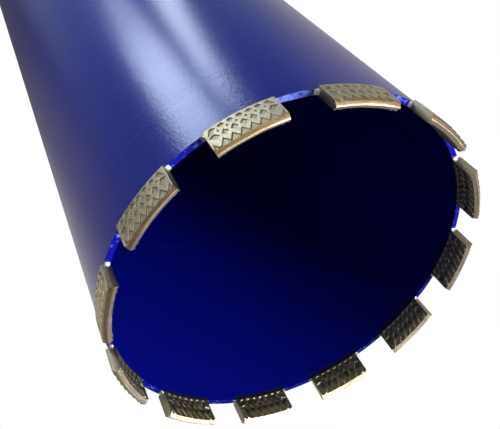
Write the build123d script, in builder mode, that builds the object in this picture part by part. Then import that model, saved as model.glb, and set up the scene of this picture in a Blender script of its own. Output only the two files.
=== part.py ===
from build123d import *
from math import cos, radians, sin, tan
import os

# Diamond core bit for wet drilling in concrete: a thin steel barrel with diamond segments welded to the
# rim of its mouth, and a plate with a threaded hub closing its back. Millimetres, +Z up. The bit stands on
# its segments, and the origin is the centre of the mouth, in the plane of the segment tips.

# Barrel
tube_diameter = 150.0
tube_wall = 2.2
working_length = 400.0  # from the segment tips to the inside of the back plate

# Segments
segment_count = 12
segment_length = 24.0  # along the middle of its thickness
segment_thickness = 3.5
segment_height = 11.8  # from the ridge to the rim of the tube
segment_overhang = 1.0  # how far the segments stand out beyond the tube
roof_height = 1.4  # height of the two facets that meet in the ridge

# Lattice of pockets pressed into the outer and the inner face of each segment
column_count = 7
column_pitch = 3.1  # along the middle of the segment's thickness
pocket_depth = 0.45
pocket_taper = 35.0  # degrees that a pocket's walls lean from its depth
face_clearance = 0.1  # from a face to the plane where its pockets' cut starts
plain_band = 0.6  # left plain beside the tube
end_border = 0.35  # left plain at each end
row_gap = 0.5  # between the arches and the diamonds, measured along the axis
arch_width = 2.6
arch_height = 2.6
arch_top = 1.3  # width of its flat top
arch_shoulder = 1.05  # from its top down to its widest place
pit_width = 1.2
pit_height = 1.9
diamond_width = 2.7
diamond_height = 4.0
notch_rise = 0.5  # how far the notches at the roof reach up between the diamonds
notch_slope = 1.87  # rise over run of a notch's side
end_drop = 0.8  # how far the end pockets' far corners lie below their near ones

# Weld run-outs at the ends of each segment
runout_length = 1.7
runout_height = 1.0
runout_hollow = 0.3  # where the knee of the hollow lies, as a share of both legs
runout_inset = 0.05  # from both faces of the tube

# Back plate
plate_thickness = 6.0
plate_clearance = 0.1  # between its edge and the tube
plate_recess = 1.5  # from the end of the tube down to the plate, where the weld lies

# Hub
hub_diameter = 48.0
hub_height = 38.0
hub_spigot = 6.0
hub_spigot_diameter = 36.0
hub_spigot_clearance = 0.1
hub_bore = 27.8  # minor diameter of the 1-1/4 inch thread
flats_across = 41.0
flats_height = 18.0

tube_radius = tube_diameter / 2
tube_inner_radius = tube_radius - tube_wall
outer_radius = tube_radius + segment_overhang
inner_radius = outer_radius - segment_thickness
middle_radius = outer_radius - segment_thickness / 2
half_angle = segment_length / 2 / middle_radius  # radians, like column_angle
column_angle = column_pitch / middle_radius
rim_height = segment_height
plate_top = working_length + plate_thickness
tube_end = plate_top + plate_recess
hub_top = plate_top + hub_height

os.makedirs("parts", exist_ok=True)


def radial_plane(angle):
    """The upright plane through the axis at an angle, with the radius as its x and the height as its y."""
    return Plane(origin=(0, 0, 0), x_dir=(cos(angle), sin(angle), 0), z_dir=(sin(angle), -cos(angle), 0))


def face_plane(column, outside):
    """A plane just clear of a segment's face, looking into the metal, its origin below a lattice column."""
    angle = column * column_angle
    radius = outer_radius + face_clearance if outside else inner_radius - face_clearance
    into = -1 if outside else 1
    return Plane(
        origin=(radius * cos(angle), radius * sin(angle), 0),
        x_dir=(-into * sin(angle), into * cos(angle), 0),
        z_dir=(into * cos(angle), into * sin(angle), 0),
    )


# Tube: plain, from the rim that carries the segments to its far end
with BuildPart() as tube:
    with BuildSketch(Plane.XY.offset(rim_height)):
        Circle(tube_radius)
        Circle(tube_inner_radius, mode=Mode.SUBTRACT)
    extrude(amount=tube_end - rim_height)
tube.part.label = "tube"
export_step(tube.part, "parts/tube.step")

# Segment: a strip with a roof, bent round the rim in flats, one under each column of the lattice
first_column = -(column_count - 1) / 2
columns = [first_column + column for column in range(column_count)]
gaps = [column + 0.5 for column in columns[:-1]]
edges = [-half_angle] + [gap * column_angle for gap in gaps] + [half_angle]
roof_section = [
    (inner_radius, rim_height),
    (inner_radius, roof_height),
    (middle_radius, 0),
    (outer_radius, roof_height),
    (outer_radius, rim_height),
]
flats = []
for column, start, end in zip(columns, edges, edges[1:]):
    with BuildPart() as flat:
        with BuildSketch(radial_plane(column * column_angle)):
            Polygon(*roof_section, align=None)
        extrude(amount=column_pitch, both=True)
        split(bisect_by=radial_plane(start), keep=Keep.BOTTOM)
        split(bisect_by=radial_plane(end), keep=Keep.TOP)
    flats.append(flat.part)

# The lattice's rows from the tube to the roof, as outlines round the foot of a column: arches, small pits
# between them, diamonds, and notches that run out through the roof. The end columns' pockets reach to the
# end border.
arch_high = segment_height - plain_band
arch_wide = arch_high - arch_shoulder
arch_low = arch_high - arch_height
pit_middle = arch_low - row_gap / 2
diamond_high = arch_low - row_gap
diamond_middle = diamond_high - diamond_height / 2
diamond_low = diamond_high - diamond_height
notch_high = diamond_low + notch_rise
floor_inset = (pocket_depth + face_clearance) * tan(radians(pocket_taper))
notch_foot = roof_height * (1 - 2 * pocket_depth / segment_thickness) - floor_inset - face_clearance
notch_half = (notch_high - notch_foot) / notch_slope
end_reach = segment_length / 2 - end_border + first_column * column_pitch
arch = [
    (arch_top / 2, arch_high),
    (-arch_top / 2, arch_high),
    (-arch_width / 2, arch_wide),
    (0, arch_low),
    (arch_width / 2, arch_wide),
]
pit = [
    (0, pit_middle + pit_height / 2),
    (-pit_width / 2, pit_middle),
    (0, pit_middle - pit_height / 2),
    (pit_width / 2, pit_middle),
]
diamond = [
    (0, diamond_high),
    (-diamond_width / 2, diamond_middle),
    (0, diamond_low),
    (diamond_width / 2, diamond_middle),
]
notch = [(0, notch_high), (-notch_half, notch_foot), (notch_half, notch_foot)]
end_arch = arch[:4] + [(end_reach, arch_low - end_drop)]
end_diamond = diamond[:3] + [(end_reach, diamond_high - end_drop)]
end_notch = [(end_reach, notch_high), (end_reach - notch_half, notch_foot), (end_reach, notch_foot)]

# The dies that press the pockets taper away from these outlines
outlines_at = {
    "column": (arch, diamond),
    "gap": (pit, notch),
    "end": (end_arch, end_diamond, end_notch),
}
dies = []
for place, outlines in outlines_at.items():
    for outline in outlines:
        with BuildPart() as die:
            with BuildSketch():
                Polygon(*outline, align=None)
            extrude(amount=pocket_depth + face_clearance, taper=pocket_taper)
        dies.append((place, die.part))
        if place == "end":
            dies.append(("other end", mirror(die.part, about=Plane.YZ)))

with BuildPart() as blank:
    add(flats)
    for outside, end_column in ((True, columns[0]), (False, columns[-1])):
        places = {"column": columns[1:-1], "gap": gaps, "end": [end_column], "other end": [-end_column]}
        for place, die in dies:
            with Locations(*[face_plane(column, outside) for column in places[place]]):
                add(die, mode=Mode.SUBTRACT)

for index in range(segment_count):
    with BuildPart() as segment:
        add(blank.part, rotation=(0, 0, index * 360 / segment_count))
    segment.part.label = f"segment_{index + 1:02d}"
    export_step(segment.part, f"parts/{segment.part.label}.step")

# Weld run-outs: a small hollow fillet between each end of a segment and the rim
with BuildPart() as runouts:
    for side in (-1, 1):
        angle = side * half_angle
        wall_middle = tube_radius - tube_wall / 2
        along_rim = Plane(
            origin=(wall_middle * cos(angle), wall_middle * sin(angle), rim_height),
            x_dir=(-side * sin(angle), side * cos(angle), 0),
            z_dir=(side * cos(angle), side * sin(angle), 0),
        )
        with BuildSketch(along_rim):
            Polygon(
                (0, 0),
                (runout_length, 0),
                (runout_length * runout_hollow, -runout_height * runout_hollow),
                (0, -runout_height),
                align=None,
            )
        extrude(amount=tube_wall / 2 - runout_inset, both=True)

with BuildPart() as segment_welds:
    with PolarLocations(0, segment_count):
        add(runouts.part)
segment_welds.part.label = "segment_welds"
export_step(segment_welds.part, "parts/segment_welds.step")

# Back plate: a disc let into the far end of the tube, with a hole for the spigot of the hub
with BuildPart() as back_plate:
    with BuildSketch(Plane.XY.offset(working_length)):
        Circle(tube_inner_radius - plate_clearance)
        Circle(hub_spigot_diameter / 2 + hub_spigot_clearance, mode=Mode.SUBTRACT)
    extrude(amount=plate_thickness)
back_plate.part.label = "back_plate"
export_step(back_plate.part, "parts/back_plate.step")

# Hub: turned, with a spigot in the plate, two wrench flats, and the bore that is threaded and lets the
# water through
with BuildPart() as hub:
    with BuildSketch(Plane.XY.offset(plate_top)):
        Circle(hub_diameter / 2)
    extrude(amount=hub_height)
    with BuildSketch(Plane.XY.offset(hub_top)):
        Circle(hub_diameter / 2)
        Rectangle(hub_diameter, flats_across, mode=Mode.SUBTRACT)
    extrude(amount=-flats_height, mode=Mode.SUBTRACT)
    with BuildSketch(Plane.XY.offset(plate_top)):
        Circle(hub_spigot_diameter / 2)
    extrude(amount=-hub_spigot)
    with BuildSketch(Plane.XY.offset(hub_top)):
        Circle(hub_bore / 2)
    extrude(amount=-hub_height - hub_spigot, mode=Mode.SUBTRACT)
hub.part.label = "hub"
export_step(hub.part, "parts/hub.step")
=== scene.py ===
import math
import bmesh
import bpy
from mathutils import Matrix, Vector


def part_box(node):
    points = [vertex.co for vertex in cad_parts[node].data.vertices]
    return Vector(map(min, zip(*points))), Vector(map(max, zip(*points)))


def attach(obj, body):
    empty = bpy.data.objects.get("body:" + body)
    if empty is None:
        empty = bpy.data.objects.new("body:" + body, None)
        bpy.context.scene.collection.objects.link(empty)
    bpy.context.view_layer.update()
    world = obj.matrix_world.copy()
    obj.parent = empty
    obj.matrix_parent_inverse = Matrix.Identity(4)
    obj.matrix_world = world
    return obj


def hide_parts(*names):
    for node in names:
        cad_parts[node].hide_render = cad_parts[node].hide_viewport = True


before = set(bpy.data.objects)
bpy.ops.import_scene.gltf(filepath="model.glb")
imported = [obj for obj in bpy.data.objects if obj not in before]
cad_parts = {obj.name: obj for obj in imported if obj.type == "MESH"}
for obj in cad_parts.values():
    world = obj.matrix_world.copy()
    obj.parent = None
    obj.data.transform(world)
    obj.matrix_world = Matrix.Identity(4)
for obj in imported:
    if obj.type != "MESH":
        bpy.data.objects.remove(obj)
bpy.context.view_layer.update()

# ---- Barrel --------------------------------------------------------------------------------------
# A length of drawn steel tube, 150 mm across with a 2.2 mm wall, turned smooth and sprayed with thin
# blue lacquer inside and out. The ends are faced square and broken with a file.

MM = 0.001
tube_radius = 75.0 * MM
tube_wall = 2.2 * MM
tube_inner_radius = tube_radius - tube_wall
rim_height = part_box("tube")[0].z
tube_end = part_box("tube")[1].z
tube_edge_break = 0.15 * MM
tube_sides = 360
segment_count = 12


def shown(name, shape, sharp=35.0):
    """Turns a bmesh into a shown object, smooth but crisp where its faces meet at more than an angle."""
    bmesh.ops.recalc_face_normals(shape, faces=shape.faces)
    mesh = bpy.data.meshes.new(name)
    shape.to_mesh(mesh)
    shape.free()
    mesh.shade_smooth()
    mesh.set_sharp_from_angle(angle=math.radians(sharp))
    piece = bpy.data.objects.new(name, mesh)
    bpy.context.scene.collection.objects.link(piece)
    return piece


def eased(profile, size, steps=3):
    """The corners of a closed profile rounded by a size, as a file or a deburring tool leaves them."""
    points = []
    for index, corner in enumerate(profile):
        corner = Vector(corner)
        before = Vector(profile[index - 1])
        after = Vector(profile[(index + 1) % len(profile)])
        start = corner + (before - corner).normalized() * size
        end = corner + (after - corner).normalized() * size
        for step in range(steps + 1):
            t = step / steps
            points.append(tuple(start.lerp(corner, t).lerp(corner.lerp(end, t), t)))
    return points


def turned(name, profile, sides):
    """A turned piece: a closed profile of radius and height, spun round the upright axis."""
    shape = bmesh.new()
    rings = []
    for side in range(sides):
        angle = 2 * math.pi * side / sides
        rings.append([shape.verts.new((r * math.cos(angle), r * math.sin(angle), z)) for r, z in profile])
    for side in range(sides):
        here = rings[side]
        there = rings[(side + 1) % sides]
        for index in range(len(profile)):
            after = (index + 1) % len(profile)
            shape.faces.new((here[index], here[after], there[after], there[index]))
    return shown(name, shape)


def colour(text):
    """An sRGB hex colour as linear red, green and blue, with alpha."""
    parts = [int(text[index:index + 2], 16) / 255 for index in (1, 3, 5)]
    linear = [part / 12.92 if part <= 0.04045 else ((part + 0.055) / 1.055) ** 2.4 for part in parts]
    return (*linear, 1.0)


def add(owner, kind, sockets=None, **settings):
    """Adds a node to a material or the world. A socket takes a value, an output or a whole node, which
    stands for its first output."""
    made = owner.node_tree.nodes.new("ShaderNode" + kind)
    for name, value in settings.items():
        setattr(made, name, value)
    for socket, value in (sockets or {}).items():
        if isinstance(value, bpy.types.Node):
            value = [output for output in value.outputs if output.enabled][0]
        if isinstance(value, bpy.types.NodeSocket):
            owner.node_tree.links.new(value, made.inputs[socket])
        else:
            made.inputs[socket].default_value = value
    return made


def new_material(name):
    """An empty material and the node that gives the place on the piece."""
    material = bpy.data.materials.new(name)
    material.use_nodes = True
    material.node_tree.nodes.clear()
    return material, add(material, "TexCoord")


def from_axis(owner, place):
    """The distance from the bit's axis, the turn round it and the height, for a place on a piece."""
    spot = add(owner, "SeparateXYZ", {0: place.outputs["Object"]})
    across = add(owner, "CombineXYZ", {0: spot.outputs[0], 1: spot.outputs[1]})
    radius = add(owner, "VectorMath", {0: across}, operation="LENGTH")
    turn = add(owner, "Math", {0: spot.outputs[1], 1: spot.outputs[0]}, operation="ARCTAN2")
    return radius.outputs["Value"], turn, spot.outputs[2]


barrel = turned(
    "barrel",
    eased(
        [
            (tube_radius, rim_height),
            (tube_radius, tube_end),
            (tube_inner_radius, tube_end),
            (tube_inner_radius, rim_height),
        ],
        tube_edge_break,
    ),
    tube_sides,
)

# Sprayed lacquer, a few hundredths of a millimetre thick: a deep blue with a satin gloss. The rings of
# the lathe show through it as fine lines, and with the orange peel of the spray, 1.1 bumps to the
# millimetre, they make the long highlights feathery. The rings are 0.2 mm apart on the real tube, and
# drawn about 1 mm apart because finer ones don't show.
lacquer, place = new_material("satin blue lacquer on turned steel")
radius, around, height = from_axis(lacquer, place)
ring_place = add(lacquer, "Mapping", {0: place.outputs["Object"], "Scale": (6, 6, 1.0 / MM)})
rings = add(lacquer, "TexNoise", {0: ring_place, "Scale": 1, "Detail": 5, "Roughness": 0.75})
broad_place = add(lacquer, "Mapping", {0: place.outputs["Object"], "Scale": (9, 9, 60)})
broad = add(lacquer, "TexNoise", {0: broad_place, "Scale": 1, "Detail": 3})
coat = add(lacquer, "Mix", {0: rings, 6: colour("#03066a"), 7: colour("#070e82")}, data_type="RGBA")
# The lacquer is darkened almost to black, and made rougher, in a band a few millimetres high just above the
# rim beside each segment. The band runs over a share of the way from the middle of one segment to the next,
# and is stronger inside the tube.
segment_turn = add(lacquer, "Math", {0: around, 1: segment_count / (2 * math.pi)}, operation="MULTIPLY")
segment_turn = add(lacquer, "Math", {0: segment_turn, 1: 0.5, 2: -0.5}, operation="WRAP")
segment_turn = add(lacquer, "Math", {0: segment_turn}, operation="ABSOLUTE")
beside = add(lacquer, "MapRange", {0: segment_turn, 1: 0.335, 2: 0.305}, interpolation_type="SMOOTHSTEP")
dark_band_height = add(lacquer, "MapRange", {0: broad, 1: 0.3, 2: 0.7, 3: 2.4 * MM, 4: 3.6 * MM})
above_rim = add(lacquer, "Math", {0: height, 1: rim_height}, operation="SUBTRACT")
near_rim = add(lacquer, "Math", {0: above_rim, 1: dark_band_height}, operation="DIVIDE")
near_rim = add(lacquer, "MapRange", {0: near_rim, 1: 1.0, 2: 0.25}, interpolation_type="SMOOTHSTEP")
inside = add(lacquer, "MapRange", {0: radius, 1: 74.2 * MM, 2: 73.4 * MM, 3: 0.45, 4: 0.9})
dark_band_share = add(lacquer, "Math", {0: beside, 1: near_rim}, operation="MULTIPLY")
dark_band_share = add(lacquer, "Math", {0: dark_band_share, 1: inside}, operation="MULTIPLY")
blue = add(lacquer, "Mix", {0: dark_band_share, 6: coat.outputs[2], 7: colour("#0a0a10")}, data_type="RGBA")
peel = add(lacquer, "TexNoise", {0: place.outputs["Object"], "Scale": 1.1 / MM, "Detail": 2})
gloss = add(lacquer, "MapRange", {0: rings, 1: 0.3, 2: 0.7, 3: 0.19, 4: 0.28})
gloss = add(lacquer, "Math", {0: gloss, 1: dark_band_share, 2: gloss}, operation="MULTIPLY_ADD")
ripples = add(lacquer, "Math", {0: rings, 1: 0.15, 2: peel}, operation="MULTIPLY_ADD")
relief = add(lacquer, "Bump", {"Strength": 0.3, "Distance": 0.2 * MM, "Height": ripples})
shader = add(
    lacquer,
    "BsdfPrincipled",
    {
        "Base Color": blue.outputs[2],
        "Roughness": gloss,
        "IOR": 1.45,
        "Specular Tint": colour("#e4f0ff"),
        "Normal": relief,
    },
)
add(lacquer, "OutputMaterial", {0: shader})
barrel.data.materials.append(lacquer)

# The faced rim between the segments: a thin, matter coat over bright steel, so a purer blue. Its pale patches
# about 2.5 mm across are partly lacquer runs and partly a painted highlight, gathered near one lit spot; away
# from there the blue is painted darker as shade.
runs_and_light_spot = (-0.019, -0.072, 0.012)
rim_lacquer, place = new_material("thin blue lacquer on a faced rim")
run_place = add(rim_lacquer, "Mapping", {0: place.outputs["Object"], "Scale": (0.4 / MM, 0.4 / MM, 0.2 / MM)})
runs = add(rim_lacquer, "TexNoise", {0: run_place, "Scale": 1, "Detail": 4, "Roughness": 0.7})
from_light_spot = add(
    rim_lacquer, "VectorMath", {0: place.outputs["Object"], 1: runs_and_light_spot}, operation="DISTANCE"
).outputs["Value"]
# Painted highlight: the pale runs are confined near the lit spot
run_limit = add(rim_lacquer, "MapRange", {0: from_light_spot, 1: 15 * MM, 2: 55 * MM, 3: 0.44, 4: 0.58})
run_and_highlight_share = add(rim_lacquer, "Math", {0: runs, 1: run_limit}, operation="SUBTRACT")
run_and_highlight_share = add(rim_lacquer, "MapRange", {0: run_and_highlight_share, 1: 0.0, 2: 0.1})
# Painted shade: the rim's blue darkens away from the lit spot
painted_shade_share = add(rim_lacquer, "MapRange", {0: from_light_spot, 1: 60 * MM, 2: 150 * MM})
shaded_rim_blue = add(
    rim_lacquer, "Mix", {0: painted_shade_share, 6: colour("#080cb0"), 7: colour("#060884")}, data_type="RGBA"
)
rim_blue = add(
    rim_lacquer, "Mix", {0: run_and_highlight_share, 6: shaded_rim_blue.outputs[2], 7: colour("#7c8cfc")}, data_type="RGBA"
)
run_gloss = add(rim_lacquer, "MapRange", {0: runs, 1: 0.3, 2: 0.7, 3: 0.6, 4: 0.35})
relief = add(rim_lacquer, "Bump", {"Strength": 0.3, "Distance": 0.1 * MM, "Height": runs})
shader = add(
    rim_lacquer,
    "BsdfPrincipled",
    {
        "Base Color": rim_blue.outputs[2],
        "Roughness": run_gloss,
        "Specular IOR Level": 0.12,
        "Normal": relief,
    },
)
add(rim_lacquer, "OutputMaterial", {0: shader})
barrel.data.materials.append(rim_lacquer)
for face in barrel.data.polygons:
    if face.center.z < rim_height + tube_edge_break:
        face.material_index = 1

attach(barrel, "root")
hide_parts("tube")

# ---- Back plate ----------------------------------------------------------------------------------
# A 6 mm steel disc let 1.5 mm into the far end of the barrel and welded all round. It is faced on the
# lathe and sprayed with the barrel, and its weld is a row of overlapping ripples.

plate_radius = 72.7 * MM
plate_hole = 18.1 * MM
plate_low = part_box("back_plate")[0].z
plate_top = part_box("back_plate")[1].z
plate = turned(
    "plate",
    eased(
        [
            (plate_radius, plate_low),
            (plate_radius, plate_top),
            (plate_hole, plate_top),
            (plate_hole, plate_low),
        ],
        0.2 * MM,
    ),
    240,
)
plate.data.materials.append(lacquer)
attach(plate, "root")
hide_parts("back_plate")


def weld_ring(name, wall, reach, foot, rise, outward, ripple, sides):
    """A fillet weld round a wall: a bulging strip that ripples forward, one scale over the last.

    It reaches so far out from the wall and rises so far above its foot, and its root is let in a little.
    """
    shape = bmesh.new()
    rings = []
    scales = round(2 * math.pi * wall / ripple)
    let_in = 0.05 * MM
    arc_steps = 8
    middle_lag = 0.35  # how far the middle of a scale trails its ends, as a share of a scale
    swelling = 0.10
    fullness = 0.9  # a power: below 1 the bead bulges past a quarter ellipse
    room = 0.97  # keeps a swollen scale within the reach and the rise
    for side in range(sides):
        angle = 2 * math.pi * side / sides
        ring = []
        for step in range(arc_steps + 1):
            t = step / arc_steps
            lag = middle_lag * (1 - (2 * t - 1) ** 2)
            scale = (angle / (2 * math.pi) * scales + lag) % 1.0
            swell = 1.0 + swelling * (scale - 0.5) * math.sin(math.pi * t)
            across = math.sin(t * math.pi / 2) ** fullness * swell
            up = math.cos(t * math.pi / 2) ** fullness * swell
            r = wall + outward * reach * across * room
            z = foot + rise * up * room
            ring.append(shape.verts.new((r * math.cos(angle), r * math.sin(angle), z)))
        root = wall - outward * let_in
        ring.append(shape.verts.new((root * math.cos(angle), root * math.sin(angle), foot - let_in)))
        rings.append(ring)
    for side in range(sides):
        here = rings[side]
        there = rings[(side + 1) % sides]
        for index in range(len(here)):
            after = (index + 1) % len(here)
            shape.faces.new((here[index], here[after], there[after], there[index]))
    return shown(name, shape, 60.0)


plate_bead = weld_ring(
    "plate_bead",
    wall=tube_inner_radius,
    reach=2.4 * MM,
    foot=plate_top,
    rise=1.45 * MM,
    outward=-1,
    ripple=1.6 * MM,
    sides=2880,
)
plate_bead.data.materials.append(lacquer)
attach(plate_bead, "root")

# ---- Hub -----------------------------------------------------------------------------------------
# Turned from bar steel and left bare, with two milled wrench flats and a 1-1/4 inch bore, 7 threads to
# the inch, that screws on to the drill and lets the water through. Its spigot sits in the plate and a
# fillet weld holds its foot.

hub_radius = 24.0 * MM
hub_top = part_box("hub")[1].z
hub_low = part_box("hub")[0].z
spigot_radius = 18.0 * MM
flat_half = 20.5 * MM
flats_low = hub_top - 18.0 * MM
hub_chamfer = 1.2 * MM
thread_pitch = 25.4 / 7 * MM
thread_minor = 13.9 * MM
thread_major = 15.88 * MM
thread_rows = 14  # to a pitch
thread_flat = 0.125  # width of its crests and roots, as a share of the pitch
lead_in_radius = 16.6 * MM
lead_in_slope = 1.2


def thread_radius(angle, z):
    """Radius of a 60 degree internal thread, with flat crests and roots, opened by a lead-in at both ends."""
    phase = (z / thread_pitch - angle / (2 * math.pi)) % 1.0
    tooth = abs(2 * phase - 1)
    share = min(1.0, max(0.0, (tooth - thread_flat) / (1 - 2 * thread_flat)))
    groove = thread_minor + (thread_major - thread_minor) * share
    nearest_end = min(hub_top - z, z - hub_low)
    return max(groove, lead_in_radius - nearest_end * lead_in_slope)


def hub_outside(angle, radius):
    """Where the outside lies on the wrench flats' stretch, for a turned radius."""
    rise = abs(math.sin(angle))
    return min(radius, flat_half / rise) if rise > 0.1 else radius


flat_corner = math.asin(flat_half / hub_radius)
chamfer_corner = math.asin(flat_half / (hub_radius - hub_chamfer))
hub_sides = 216
hub_angles = [2 * math.pi * side / hub_sides for side in range(hub_sides)]
for corner in (flat_corner, chamfer_corner):
    hub_angles += [corner, math.pi - corner, math.pi + corner, 2 * math.pi - corner]
hub_angles = sorted(set(round(angle, 6) for angle in hub_angles))
outline = [
    (spigot_radius - 0.3 * MM, hub_low, False),
    (spigot_radius, hub_low + 0.3 * MM, False),
    (spigot_radius, plate_top + 0.01 * MM, False),
    (hub_radius, plate_top + 0.01 * MM, False),
    (hub_radius, flats_low - 0.2 * MM, False),
    (hub_radius, flats_low, False),
    (hub_radius, flats_low, True),
    (hub_radius, hub_top - hub_chamfer, True),
    (hub_radius - hub_chamfer, hub_top, True),
]
# Each column runs up the outside and down the bore. The bore's rows climb with the thread, one pitch in
# a turn, so where the last column meets the first they join a pitch lower.
rows_along = math.ceil((hub_top - hub_low) / thread_pitch) + 1
shape = bmesh.new()
columns = []
for angle in hub_angles:
    column = []
    for radius, z, flat in outline:
        r = hub_outside(angle, radius) if flat else radius
        column.append(shape.verts.new((r * math.cos(angle), r * math.sin(angle), z)))
    for row in range(rows_along * thread_rows, -thread_rows - 1, -1):
        z = hub_low + thread_pitch * (row / thread_rows + angle / (2 * math.pi))
        z = min(hub_top, max(hub_low, z))
        r = thread_radius(angle, z)
        column.append(shape.verts.new((r * math.cos(angle), r * math.sin(angle), z)))
    columns.append(column)
bore_start = len(outline)
for number, here in enumerate(columns):
    last = number == len(columns) - 1
    there = columns[(number + 1) % len(columns)]
    for index in range(bore_start - 1):
        shape.faces.new((here[index], here[index + 1], there[index + 1], there[index]))
    lift = thread_rows if last else 0
    shape.faces.new((here[bore_start - 1], here[bore_start], there[bore_start], there[bore_start - 1]))
    for index in range(bore_start, len(here) - 1):
        if index - lift >= bore_start:
            shape.faces.new((here[index], here[index + 1], there[index + 1 - lift], there[index - lift]))
    shape.faces.new((here[-1], here[0], there[0], there[-1]))
bmesh.ops.remove_doubles(shape, verts=shape.verts, dist=0.002 * MM)
bmesh.ops.holes_fill(shape, edges=shape.edges, sides=60)
hub = shown("threaded_hub", shape, 25.0)

# Bar steel as the lathe leaves it: bright grey with a few dull stains and fine feed rings, which are
# 0.15 mm apart and drawn 0.7 mm apart to show
bare_steel, place = new_material("turned bar steel")
ring_place = add(bare_steel, "Mapping", {0: place.outputs["Object"], "Scale": (14, 14, 1.4 / MM)})
feed = add(bare_steel, "TexNoise", {0: ring_place, "Scale": 1, "Detail": 3, "Roughness": 0.6})
stain = add(bare_steel, "TexNoise", {0: place.outputs["Object"], "Scale": 60, "Detail": 5, "Roughness": 0.65})
stain = add(bare_steel, "MapRange", {0: stain, 1: 0.42, 2: 0.72})
steel_tone = add(bare_steel, "Mix", {0: stain, 6: colour("#b4b4b2"), 7: colour("#8c867c")}, data_type="RGBA")
steel_gloss = add(bare_steel, "MapRange", {0: feed, 1: 0.3, 2: 0.7, 3: 0.28, 4: 0.46})
relief = add(bare_steel, "Bump", {"Strength": 0.25, "Distance": 0.1 * MM, "Height": feed})
shader = add(
    bare_steel,
    "BsdfPrincipled",
    {"Base Color": steel_tone.outputs[2], "Metallic": 1.0, "Roughness": steel_gloss, "Normal": relief},
)
add(bare_steel, "OutputMaterial", {0: shader})
hub.data.materials.append(bare_steel)
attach(hub, "root")
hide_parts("hub")

hub_bead = weld_ring(
    "hub_bead",
    wall=hub_radius,
    reach=3.4 * MM,
    foot=plate_top,
    rise=3.4 * MM,
    outward=1,
    ripple=1.9 * MM,
    sides=1200,
)
# Weld metal, brushed but not painted: silver ridges about 1 mm across, with brown heat tints
weld_metal, place = new_material("brushed weld metal")
ripple = add(
    weld_metal, "TexNoise", {0: place.outputs["Object"], "Scale": 0.9 / MM, "Detail": 4, "Roughness": 0.65}
)
tint = add(weld_metal, "TexNoise", {0: place.outputs["Object"], "Scale": 0.14 / MM, "Detail": 3})
tint = add(weld_metal, "MapRange", {0: tint, 1: 0.45, 2: 0.7})
silver = add(weld_metal, "Mix", {0: ripple, 6: colour("#9c9ca4"), 7: colour("#e8e8ec")}, data_type="RGBA")
tinted = add(weld_metal, "Mix", {0: tint, 6: silver.outputs[2], 7: colour("#8a7c74")}, data_type="RGBA")
weld_gloss = add(weld_metal, "MapRange", {0: ripple, 1: 0.3, 2: 0.7, 3: 0.25, 4: 0.5})
relief = add(weld_metal, "Bump", {"Strength": 0.3, "Distance": 0.15 * MM, "Height": ripple})
shader = add(
    weld_metal,
    "BsdfPrincipled",
    {"Base Color": tinted.outputs[2], "Metallic": 1.0, "Roughness": weld_gloss, "Normal": relief},
)
add(weld_metal, "OutputMaterial", {0: shader})
hub_bead.data.materials.append(weld_metal)
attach(hub_bead, "root")

# ---- Segments ------------------------------------------------------------------------------------
# Twelve blocks pressed from metal powder and diamond grit and sintered, each with a lattice of pockets
# in both faces and a roof that is ground to an edge. The die leaves all its edges soft. They stand on
# the rim 30 degrees apart.

segment_middle = 74.25 * MM
segment_half_turn = 12.0 * MM / segment_middle
soft_edge = 0.11 * MM

# Sintered bronze and cobalt: dull, gritty and olive grey, painted darker in the pockets than on the ribs as
# shade. Along the roof, where it is ground, it has fine lines; its inner slope is painted cream as lit and
# its outer slope brown as shaded. Its grit is
# 0.4 mm across and its cloudy patches 2.4 mm. The lines are 0.1 mm apart and drawn 0.3 mm apart to show.
sintered, place = new_material("sintered bronze and diamond grit")
radius, around, height = from_axis(sintered, place)
off_middle = add(sintered, "Math", {0: radius, 1: segment_middle}, operation="SUBTRACT")
depth = add(sintered, "Math", {0: off_middle}, operation="ABSOLUTE")
on_rib = add(sintered, "MapRange", {0: depth, 1: 1.32 * MM, 2: 1.70 * MM}, interpolation_type="SMOOTHSTEP")
grit = add(sintered, "TexVoronoi", {0: place.outputs["Object"], "Scale": 2.6 / MM, "Randomness": 1.0})
mottle = add(
    sintered, "TexNoise", {0: place.outputs["Object"], "Scale": 0.42 / MM, "Detail": 5, "Roughness": 0.65}
)
# Painted shade: the pockets get a darker copy of the rib colour
shaded_pocket_metal = add(sintered, "Mix", {0: mottle, 6: colour("#675f4b"), 7: colour("#91886d")}, data_type="RGBA")
rib_metal = add(sintered, "Mix", {0: mottle, 6: colour("#787059"), 7: colour("#a59c81")}, data_type="RGBA")
face_metal = add(
    sintered, "Mix", {0: on_rib, 6: shaded_pocket_metal.outputs[2], 7: rib_metal.outputs[2]}, data_type="RGBA"
)
# The roof, found by its faces looking down: its outer slope painted brown as shaded, its inner one cream as
# lit
facing = add(sintered, "SeparateXYZ", {0: place.outputs["Normal"]})
looking_down = add(sintered, "MapRange", {0: facing.outputs[2], 1: -0.35, 2: -0.6})
low_down = add(sintered, "MapRange", {0: height, 1: 1.75 * MM, 2: 1.55 * MM})
on_roof = add(sintered, "Math", {0: looking_down, 1: low_down}, operation="MULTIPLY")
arc = add(sintered, "Math", {0: around, 1: segment_middle * 60}, operation="MULTIPLY")
line_across = add(sintered, "Math", {0: radius, 1: 3.0 / MM}, operation="MULTIPLY")
line_place = add(sintered, "CombineXYZ", {0: arc, 1: line_across, 2: 0.0})
lines = add(sintered, "TexNoise", {0: line_place, "Scale": 1, "Detail": 4, "Roughness": 0.7})
lines = add(sintered, "MapRange", {0: lines, 1: 0.3, 2: 0.7})
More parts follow.
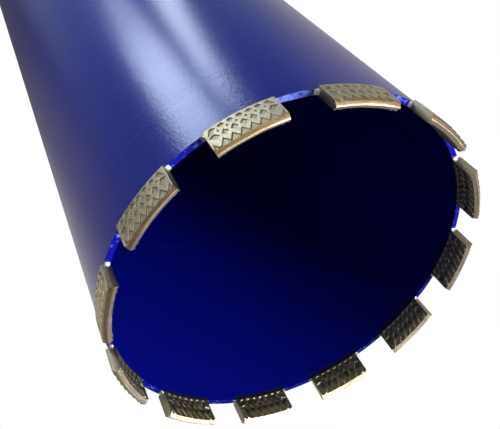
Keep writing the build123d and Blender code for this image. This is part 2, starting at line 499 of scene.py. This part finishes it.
# Painted light and shade: the inner slope is the lit copy, cream, and the outer slope the shaded copy, brown,
# split along the fine lines
lit_inner_slope = add(sintered, "Mix", {0: lines, 6: colour("#8a7555"), 7: colour("#f2e6ce")}, data_type="RGBA")
shaded_outer_slope = add(sintered, "Mix", {0: lines, 6: colour("#6a573c"), 7: colour("#a58d66")}, data_type="RGBA")
slope_edge = add(sintered, "Math", {0: lines, 1: -0.35 * MM, 2: off_middle}, operation="MULTIPLY_ADD")
outer_side = add(sintered, "MapRange", {0: slope_edge, 1: 0.0 * MM, 2: 0.3 * MM})
roof_metal = add(
    sintered, "Mix", {0: outer_side, 6: lit_inner_slope.outputs[2], 7: shaded_outer_slope.outputs[2]}, data_type="RGBA"
)
segment_metal = add(
    sintered, "Mix", {0: on_roof, 6: face_metal.outputs[2], 7: roof_metal.outputs[2]}, data_type="RGBA"
)
grit_and_shade_share = add(sintered, "MapRange", {0: grit.outputs["Distance"], 1: 0.0, 2: 0.5, 3: 0.5, 4: 1.12})
# The pockets' walls are painted darkest, as shade in the recesses
wall = add(sintered, "Math", {0: on_rib, 1: 0.5}, operation="SUBTRACT")
wall = add(sintered, "Math", {0: wall}, operation="ABSOLUTE")
wall = add(sintered, "MapRange", {0: wall, 1: 0.2, 2: 0.45, 3: 0.27, 4: 1.0})
wall = add(sintered, "Math", {0: wall, 1: on_roof}, operation="MAXIMUM")
# Painted shade: the wall mask darkens the colour through the grit share
grit_and_shade_share = add(sintered, "Math", {0: grit_and_shade_share, 1: wall}, operation="MULTIPLY")
speckled_and_shaded = add(sintered, "VectorMath", {0: segment_metal.outputs[2], 1: grit_and_shade_share}, operation="MULTIPLY")
grit_gloss = add(sintered, "MapRange", {0: mottle, 1: 0.3, 2: 0.7, 3: 0.35, 4: 0.54})
grain = add(sintered, "Math", {0: grit.outputs["Distance"], 1: mottle}, operation="ADD")
relief = add(sintered, "Bump", {"Strength": 0.65, "Distance": 0.12 * MM, "Height": grain})
shader = add(
    sintered,
    "BsdfPrincipled",
    {"Base Color": speckled_and_shaded, "Metallic": 1.0, "Roughness": grit_gloss, "Normal": relief},
)
add(sintered, "OutputMaterial", {0: shader})

for number in range(1, segment_count + 1):
    node = f"segment_{number:02d}"
    shape = bmesh.new()
    shape.from_mesh(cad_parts[node].data)
    bmesh.ops.remove_doubles(shape, verts=shape.verts, dist=0.001 * MM)
    bmesh.ops.dissolve_limit(shape, angle_limit=math.radians(2), verts=shape.verts, edges=shape.edges)
    creases = [edge for edge in shape.edges if edge.is_manifold and edge.calc_face_angle() > math.radians(15)]
    bmesh.ops.bevel(
        shape, geom=creases, offset=soft_edge, segments=2, profile=0.6, affect="EDGES", clamp_overlap=True
    )
    block = shown(f"diamond_segment_{number:02d}", shape, 50.0)
    block.data.materials.append(sintered)
    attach(block, "root")
    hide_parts(node)

# ---- Laser welds ---------------------------------------------------------------------------------
# The laser melts the foot of each segment into the rim. It leaves a thin seam along both faces of the
# tube and a bright run-out at both ends, where the melt flows on along the rim.

runout_length = 1.7 * MM
runout_height = 1.0 * MM
runout_inset = 0.06 * MM  # from both faces of the tube
runout_thinning = 2.2  # a power: how fast its height falls away
runout_taper = 0.25  # how much of its width its far end has lost
edge_let_in = 0.02 * MM
top_let_in = 0.03 * MM
runout_rows = 10
runout_columns = 8
outer_seam = 0.35 * MM
inner_seam = 0.22 * MM
seam_let_in = 0.02 * MM
seam_reach = 0.995  # how far it runs to a segment's ends
seam_steps = 160
seam_arc_steps = 5

# The run-outs are tongues of melt, thickest at the segment, that thin out and narrow along the rim. Their
# flat tops are let a little into it.
shape = bmesh.new()
for number in range(segment_count):
    for side in (-1, 1):
        centre = number * 2 * math.pi / segment_count + side * segment_half_turn
        grid = []
        for along in range(runout_rows + 1):
            t = along / runout_rows
            angle = centre + side * t * runout_length / segment_middle
            drop = runout_height * (1 - t) ** runout_thinning * (1 - runout_taper * t)
            half = (tube_wall / 2 - runout_inset) * (1 - runout_taper * t * t)
            row = []
            for across in range(runout_columns + 1):
                u = 2 * across / runout_columns - 1
                r = tube_radius - tube_wall / 2 + half * u
                crown = (1 - 0.55 * u ** 4) * (1 - 0.2 * u * u)
                z = rim_height + edge_let_in - drop * crown
                row.append(shape.verts.new((r * math.cos(angle), r * math.sin(angle), z)))
            grid.append(row)
        for along in range(runout_rows):
            for across in range(runout_columns):
                corners = (
                    grid[along][across],
                    grid[along][across + 1],
                    grid[along + 1][across + 1],
                    grid[along + 1][across],
                )
                shape.faces.new(corners)
        edge = [row[0] for row in grid] + grid[-1][1:-1] + [row[-1] for row in reversed(grid)]
        edge += list(reversed(grid[0][1:-1]))
        lids = [shape.verts.new((v.co.x, v.co.y, rim_height + top_let_in)) for v in edge]
        for index in range(len(edge)):
            after = (index + 1) % len(edge)
            shape.faces.new((edge[index], edge[after], lids[after], lids[index]))
        shape.faces.new(lids)
runouts = shown("weld_runouts", shape, 50.0)
runouts.data.materials.append(weld_metal)
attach(runouts, "root")
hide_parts("segment_welds")

# The seams are small quarter-round beads that swell with the laser's pulses and taper at both ends
shape = bmesh.new()
for number in range(segment_count):
    for wall, outward in ((tube_radius, 1), (tube_inner_radius, -1)):
        size = outer_seam if outward > 0 else inner_seam
        rings = []
        for along in range(seam_steps + 1):
            t = along / seam_steps * 2 - 1
            angle = number * 2 * math.pi / segment_count + t * segment_half_turn * seam_reach
            pulse = 1.0 + 0.18 * math.sin(along * math.pi / 2.5) + 0.1 * math.sin(along * 0.37 + number)
            end = min(1.0, (1 - abs(t)) * 25 + 0.15)
            bulge = size * pulse * end
            ring = []
            for step in range(seam_arc_steps + 1):
                turn = step / seam_arc_steps * math.pi / 2
                r = wall + outward * (bulge * math.sin(turn) - seam_let_in)
                z = rim_height + bulge * math.cos(turn) - seam_let_in
                ring.append(shape.verts.new((r * math.cos(angle), r * math.sin(angle), z)))
            root = wall - outward * 0.05 * MM
            foot = rim_height - 0.04 * MM
            ring.append(shape.verts.new((root * math.cos(angle), root * math.sin(angle), foot)))
            rings.append(ring)
        for here, there in zip(rings, rings[1:]):
            for index in range(len(here)):
                after = (index + 1) % len(here)
                shape.faces.new((here[index], here[after], there[after], there[index]))
        shape.faces.new(rings[0])
        shape.faces.new(list(reversed(rings[-1])))
seams = shown("weld_seams", shape, 50.0)

# The seam is too hot to keep any lacquer: blue-black scale with a few bright ripples 1.4 mm long
seam_scale, place = new_material("scaled weld seam")
ripple = add(seam_scale, "TexNoise", {0: place.outputs["Object"], "Scale": 0.7 / MM, "Detail": 3})
bright = add(seam_scale, "MapRange", {0: ripple, 1: 0.48, 2: 0.7})
scale_tone = add(
    seam_scale, "Mix", {0: bright, 6: colour("#23232e"), 7: colour("#8d8a86")}, data_type="RGBA"
)
seam_gloss = add(seam_scale, "MapRange", {0: ripple, 1: 0.3, 2: 0.7, 3: 0.55, 4: 0.35})
shader = add(
    seam_scale,
    "BsdfPrincipled",
    {"Base Color": scale_tone.outputs[2], "Metallic": 0.8, "Roughness": seam_gloss},
)
add(seam_scale, "OutputMaterial", {0: shader})
seams.data.materials.append(seam_scale)
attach(seams, "root")

# ---- Studio --------------------------------------------------------------------------------------
# A white cove with a pale floor, soft strip lamps, and two wide scrims that only the gloss sees: a grey
# one over the bit and a white and grey one under it.

world = bpy.data.worlds.new("white cove")
bpy.context.scene.world = world
world.use_nodes = True
world.node_tree.nodes.clear()
path = add(world, "LightPath")
seen = add(
    world, "Math", {0: path.outputs["Is Camera Ray"], 1: path.outputs["Is Glossy Ray"]}, operation="MAXIMUM"
)
seen = add(world, "Math", {0: seen, 1: path.outputs["Is Transmission Ray"]}, operation="MAXIMUM")
sky = add(world, "TexCoord").outputs["Generated"]
sky_height = add(world, "SeparateXYZ", {0: sky}).outputs[2]
sky_level = add(world, "MapRange", {0: sky_height, 1: -0.3, 2: 0.5, 3: 0.06, 4: 0.15})
ambient = add(world, "Background", {0: (1, 1, 1, 1), 1: sky_level})
white = add(world, "Background", {0: (1, 1, 1, 1), 1: 1.0})
mixed = add(world, "MixShader", {0: seen, 1: ambient, 2: white})
add(world, "OutputWorld", {0: mixed})

floor_radius = 1.6
shape = bmesh.new()
bmesh.ops.create_circle(
    shape, cap_ends=True, segments=128, radius=floor_radius, matrix=Matrix.Translation((0, 0, -0.05 * MM))
)
floor = shown("floor", shape)
# Pale matt floor. It is seen from above only, fades into the cove, and lets the lamps below it through.
pale, place = new_material("pale studio floor")
path = add(pale, "LightPath")
side = add(pale, "NewGeometry")
from_above = add(pale, "Math", {0: 1.0, 1: side.outputs["Backfacing"]}, operation="SUBTRACT")
present = add(pale, "Math", {0: from_above, 1: path.outputs["Is Camera Ray"]}, operation="MULTIPLY")
reach = add(pale, "VectorMath", {0: place.outputs["Object"]}, operation="LENGTH").outputs["Value"]
fade = add(
    pale, "MapRange", {0: reach, 1: 0.7, 2: 1.55, 3: 1.0, 4: 0.0}, interpolation_type="SMOOTHSTEP"
)
present = add(pale, "Math", {0: present, 1: fade}, operation="MULTIPLY")
dust = add(pale, "TexNoise", {0: place.outputs["Object"], "Scale": 30})
pale_grey = add(pale, "Mix", {0: dust, 6: colour("#eeeeec"), 7: colour("#f4f4f2")}, data_type="RGBA")
clear = add(pale, "BsdfTransparent")
matt = add(pale, "BsdfDiffuse", {0: pale_grey.outputs[2]})
mixed = add(pale, "MixShader", {0: present, 1: clear, 2: matt})
add(pale, "OutputMaterial", {0: mixed})
floor.data.materials.append(pale)


def scrim(name, height, half, cloth):
    """A wide glowing cloth that only the gloss sees."""
    shape = bmesh.new()
    corners = [(-half, -half), (half, -half), (half, half), (-half, half)]
    shape.faces.new([shape.verts.new((x, y, height)) for x, y in corners])
    made = shown(name, shape)
    made.data.materials.append(cloth)
    made.visible_camera = False
    made.visible_diffuse = False
    made.visible_shadow = False


# Over the bit it is dim, and brighter in front, to the right and towards the back
upper_cloth, place = new_material("grey ceiling scrim")
spot = add(upper_cloth, "SeparateXYZ", {0: place.outputs["Object"]})
flat_spot = add(upper_cloth, "CombineXYZ", {0: spot.outputs[0], 1: spot.outputs[1]})
reach = add(upper_cloth, "VectorMath", {0: flat_spot}, operation="LENGTH").outputs["Value"]
middle_glow = add(upper_cloth, "MapRange", {0: reach, 1: 0.85, 2: 1.7, 3: 0.125, 4: 0.46})
front_glow = add(upper_cloth, "MapRange", {0: spot.outputs[1], 1: 0.55, 2: 0.1, 3: 0.0, 4: 0.52})
right_glow = add(upper_cloth, "MapRange", {0: spot.outputs[0], 1: 0.4, 2: 1.4, 3: 0.0, 4: 0.2})
back_glow = add(upper_cloth, "MapRange", {0: spot.outputs[1], 1: 1.2, 2: 2.3, 3: 0.0, 4: 0.5})
glow = add(upper_cloth, "Math", {0: middle_glow, 1: front_glow}, operation="MAXIMUM")
glow = add(upper_cloth, "Math", {0: glow, 1: right_glow}, operation="ADD")
glow = add(upper_cloth, "Math", {0: glow, 1: back_glow}, operation="ADD")
backward = add(upper_cloth, "MapRange", {0: spot.outputs[1], 1: -0.2, 2: 0.7})
rightward = add(upper_cloth, "MapRange", {0: spot.outputs[0], 1: 0.9, 2: 1.5})
warm_share = add(upper_cloth, "Math", {0: backward, 1: rightward}, operation="MAXIMUM")
sky_tone = add(
    upper_cloth, "Mix", {0: warm_share, 6: colour("#c8e2ff"), 7: colour("#fff6ec")}, data_type="RGBA"
)
shining = add(upper_cloth, "Emission", {0: sky_tone.outputs[2], 1: glow})
add(upper_cloth, "OutputMaterial", {0: shining})
scrim("ceiling_scrim", 2.2, 5.0, upper_cloth)

# Under the bit it is white in front of the mouth and dark away from there
lower_cloth, place = new_material("white and grey lower scrim")
away = add(
    lower_cloth, "VectorMath", {0: place.outputs["Object"], 1: (0.33, -0.85, -1.2)}, operation="DISTANCE"
)
glow = add(lower_cloth, "MapRange", {0: away.outputs["Value"], 1: 0.5, 2: 1.7, 3: 1.3, 4: 0.17})
shining = add(lower_cloth, "Emission", {0: colour("#ffffff"), 1: glow})
add(lower_cloth, "OutputMaterial", {0: shining})
scrim("lower_scrim", -1.2, 8.0, lower_cloth)


def strip_lamp(
    name, low, high, width, brightness, towards=(0, 0, 0.2), tint="#dfecff", gloss=True, spread=True
):
    """A soft strip lamp from one point to another, turned to face a point, as bright as a share of white.

    Its light can be kept from the gloss, or from the matt colours that spread it.
    """
    low = Vector(low)
    high = Vector(high)
    lamp = bpy.data.lights.new(name, "AREA")
    lamp.shape = "RECTANGLE"
    lamp.size = width
    lamp.size_y = (high - low).length
    lamp.energy = brightness * math.pi * lamp.size * lamp.size_y
    lamp.color = colour(tint)[:3]
    holder = bpy.data.objects.new(name, lamp)
    along = (high - low).normalized()
    middle = (low + high) / 2
    away = middle - Vector(towards)
    away = (away - along * away.dot(along)).normalized()
    turn = Matrix((along.cross(away), along, away)).transposed().to_4x4()
    holder.matrix_world = Matrix.Translation(middle) @ turn
    holder.visible_camera = False
    holder.visible_glossy = gloss
    holder.visible_diffuse = spread
    bpy.context.scene.collection.objects.link(holder)
    return holder


# Two cool strips, upright and leaning, make the two long highlights on the barrel. They are brightest at
# their feet, and all but one part of them only reach the gloss.
tall = (-0.262, -0.362)
strip_lamp("tall_strip_foot", (-0.280, -0.349, 0.30), (-0.280, -0.349, 0.66), 0.175, 13.0, spread=False)
strip_lamp("tall_strip_middle", (-0.265, -0.360, 0.66), (-0.265, -0.360, 0.85), 0.13, 2.7, spread=False)
strip_lamp("tall_strip_head", (*tall, 0.85), (*tall, 1.90), 0.12, 1.75, spread=False)
lean_foot = (-0.152, -0.450, 0.44)
lean_low = (-0.100, -0.458, 0.66)
lean_high = (-0.058, -0.464, 0.84)
lean_head = (0.11, -0.470, 1.25)
strip_lamp("leaning_strip_foot", lean_foot, lean_low, 0.08, 12.5)
strip_lamp("leaning_strip_middle", lean_low, lean_high, 0.11, 7.4, spread=False)
strip_lamp("leaning_strip_head", lean_high, lean_head, 0.12, 6.6, spread=False)

# Low fills for the outer faces of the segments and the foot of the barrel
mouth = (0, 0, 0.05)
plain_white = "#ffffff"
left_fill = strip_lamp(
    "left_fill", (-0.42, -0.20, -0.02), (-0.42, -0.20, 0.16), 0.25, 4.8, mouth, plain_white
)
right_fill = strip_lamp(
    "right_fill", (-0.04, -0.46, -0.02), (-0.04, -0.46, 0.16), 0.25, 1.6, mouth, plain_white
)
front_fill = strip_lamp(
    "low_front_fill",
    (-0.30, -0.33, 0.0),
    (-0.30, -0.33, 0.20),
    0.25,
    2.6,
    (0, 0, 0.1),
    plain_white,
    gloss=False,
)
# They would leave a hard patch of light on the floor, so they pass it by
unlit = bpy.data.collections.new("floor, unlit by the low fills")
unlit.objects.link(floor)
unlit.collection_objects[0].light_linking.link_state = "EXCLUDE"
for fill in (left_fill, right_fill, front_fill):
    fill.light_linking.receiver_collection = unlit

# One lamp under the mouth lights its inside, one the far side, and one hangs overhead
strip_lamp("mouth_fill", (0.222, -0.188, -0.56), (0.222, -0.188, -0.28), 0.22, 32.0, mouth, plain_white)
strip_lamp("far_fill", (0.7, 0.9, 0.2), (0.7, 0.9, 1.4), 0.6, 5.0, tint=plain_white)
strip_lamp("overhead", (-0.3, 0.5, 1.6), (0.9, 0.5, 1.6), 1.2, 3.5, (0.3, 0.5, 0), plain_white, gloss=False)

# The camera, low and to the left of the mouth, looking up into it
camera_data = bpy.data.cameras.new("camera")
camera_data.lens = 45.06
camera_data.sensor_width = 36
camera_data.shift_x = -0.04544
camera_data.shift_y = 0.04
camera_data.clip_start = 0.01
camera_data.clip_end = 20
camera = bpy.data.objects.new("camera", camera_data)
eye = Vector((-115.491, -141.808, -143.859)) * MM
right = Vector((0.8884, -0.2102, -0.4080)).normalized()
back = right.cross(Vector((0.0794, -0.8052, 0.5876))).normalized()
camera.matrix_world = Matrix.Translation(eye) @ Matrix((right, back.cross(right), back)).transposed().to_4x4()
bpy.context.scene.collection.objects.link(camera)
bpy.context.scene.camera = camera
bpy.context.scene.view_settings.view_transform = "Standard"
